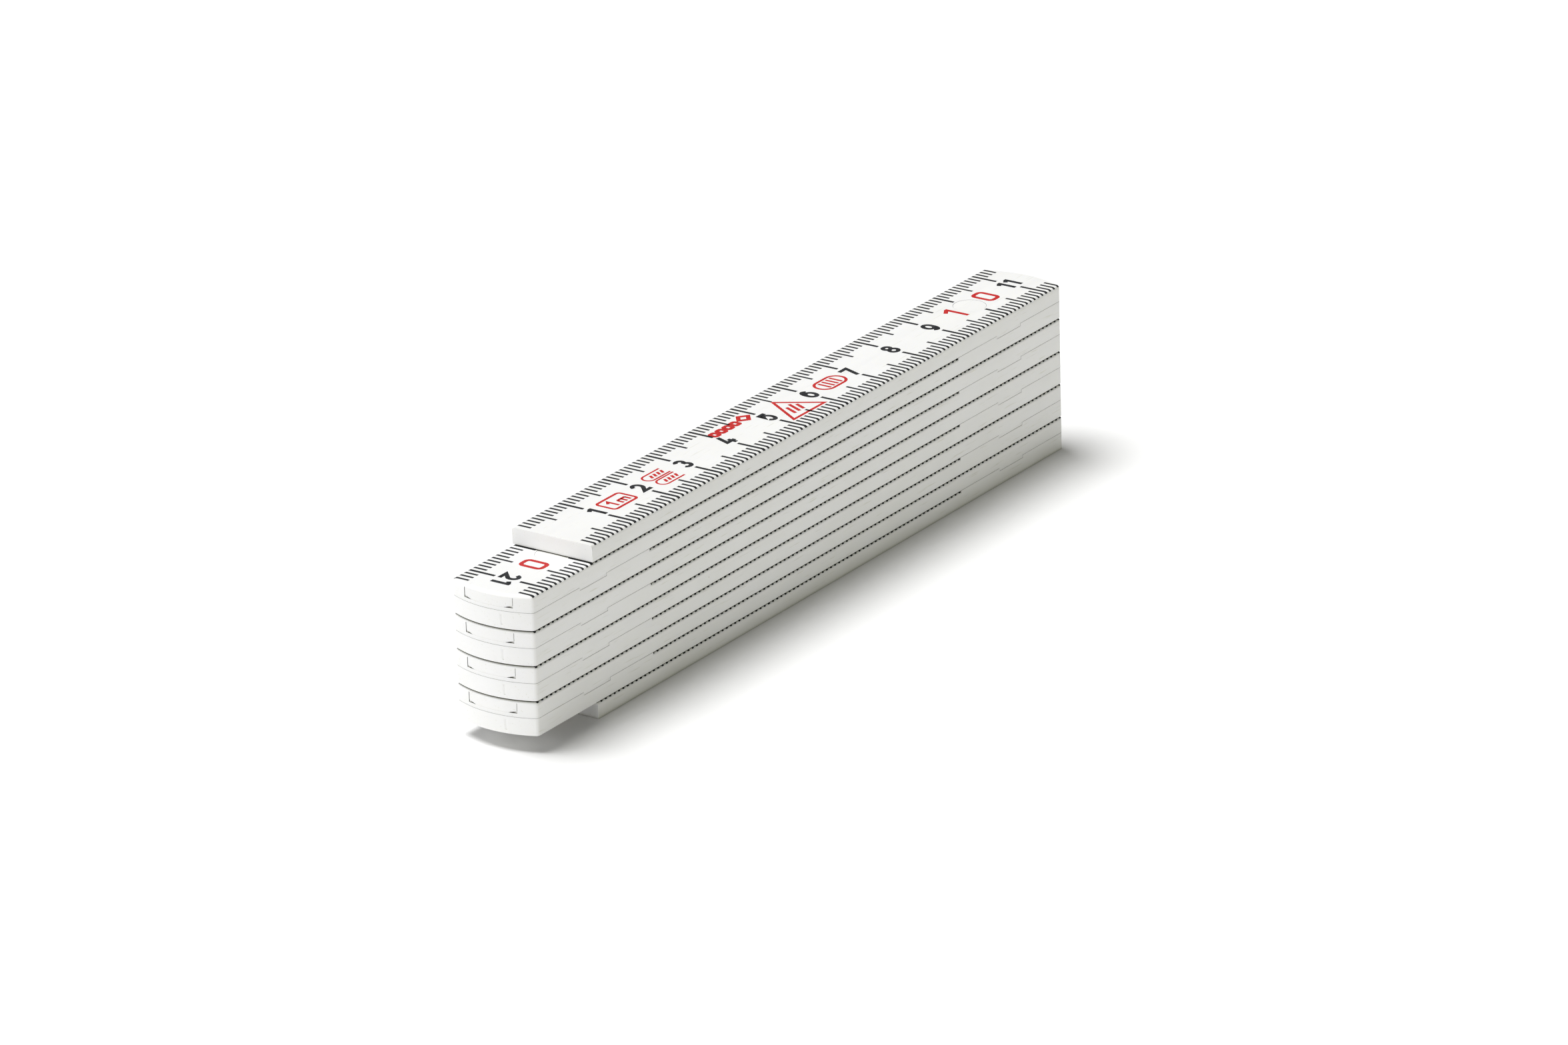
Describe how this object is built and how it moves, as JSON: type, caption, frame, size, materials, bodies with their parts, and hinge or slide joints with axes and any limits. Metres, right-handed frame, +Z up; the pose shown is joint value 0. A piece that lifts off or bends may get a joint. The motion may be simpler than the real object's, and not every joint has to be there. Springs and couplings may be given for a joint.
{
  "type": "folding rule",
  "caption": "Folding metre rule: slim white moulded links stacked flat and pinned end to end, with millimetre ticks, centimetre numbers and a square zero end.",
  "frame": {"origin": "centre of the folded stack's outline, on the surface that the bottom link rests on", "axes": "+X along the links, from the zero end of the top link towards its first hinge; +Z up, along every hinge axis; +Y across the width"},
  "size_m": [0.1296, 0.013, 0.0247],
  "materials": {
    "white_plastic": "satin moulded, glass-fibre reinforced",
    "pin_plastic": "satin moulded",
    "spring_steel": "bright rolled strip",
    "black_ink": "matt print",
    "red_ink": "matt print"
  },
  "bodies": {
    "link_01": {"link_01": "white_plastic", "detent_spring_1": "spring_steel"},
    "link_02": {"link_02": "white_plastic", "hinge_pin_1": "pin_plastic", "detent_spring_2": "spring_steel"},
    "link_03": {"link_03": "white_plastic", "hinge_pin_2": "pin_plastic", "detent_spring_3": "spring_steel"},
    "link_04": {"link_04": "white_plastic", "hinge_pin_3": "pin_plastic", "detent_spring_4": "spring_steel"},
    "link_05": {"link_05": "white_plastic", "hinge_pin_4": "pin_plastic", "detent_spring_5": "spring_steel"},
    "link_06": {"link_06": "white_plastic", "hinge_pin_5": "pin_plastic", "detent_spring_6": "spring_steel"},
    "link_07": {"link_07": "white_plastic", "hinge_pin_6": "pin_plastic", "detent_spring_7": "spring_steel"},
    "link_08": {"link_08": "white_plastic", "hinge_pin_7": "pin_plastic", "detent_spring_8": "spring_steel"},
    "link_09": {"link_09": "white_plastic", "hinge_pin_8": "pin_plastic", "detent_spring_9": "spring_steel"},
    "link_10": {"link_10": "white_plastic", "hinge_pin_9": "pin_plastic"}
  },
  "joints": [
    {"name": "hinge_9", "type": "hinge", "parent": "link_10", "child": "link_09", "pos_m": [0.05, 0, 0.00248], "axis": [0, 0, 1], "range_deg": [-180, 180], "deforming": ["detent_spring_9"]},
    {"name": "hinge_8", "type": "hinge", "parent": "link_09", "child": "link_08", "pos_m": [-0.05, 0, 0.00496], "axis": [0, 0, 1], "range_deg": [-180, 180], "deforming": ["detent_spring_8"]},
    {"name": "hinge_7", "type": "hinge", "parent": "link_08", "child": "link_07", "pos_m": [0.05, 0, 0.00744], "axis": [0, 0, 1], "range_deg": [-180, 180], "deforming": ["detent_spring_7"]},
    {"name": "hinge_6", "type": "hinge", "parent": "link_07", "child": "link_06", "pos_m": [-0.05, 0, 0.00992], "axis": [0, 0, 1], "range_deg": [-180, 180], "deforming": ["detent_spring_6"]},
    {"name": "hinge_5", "type": "hinge", "parent": "link_06", "child": "link_05", "pos_m": [0.05, 0, 0.0124], "axis": [0, 0, 1], "range_deg": [-180, 180], "deforming": ["detent_spring_5"]},
    {"name": "hinge_4", "type": "hinge", "parent": "link_05", "child": "link_04", "pos_m": [-0.05, 0, 0.01488], "axis": [0, 0, 1], "range_deg": [-180, 180], "deforming": ["detent_spring_4"]},
    {"name": "hinge_3", "type": "hinge", "parent": "link_04", "child": "link_03", "pos_m": [0.05, 0, 0.01736], "axis": [0, 0, 1], "range_deg": [-180, 180], "deforming": ["detent_spring_3"]},
    {"name": "hinge_2", "type": "hinge", "parent": "link_03", "child": "link_02", "pos_m": [-0.05, 0, 0.01984], "axis": [0, 0, 1], "range_deg": [-180, 180], "deforming": ["detent_spring_2"]},
    {"name": "hinge_1", "type": "hinge", "parent": "link_02", "child": "link_01", "pos_m": [0.05, 0, 0.02232], "axis": [0, 0, 1], "range_deg": [-180, 180], "deforming": ["detent_spring_1"]}
  ]
}
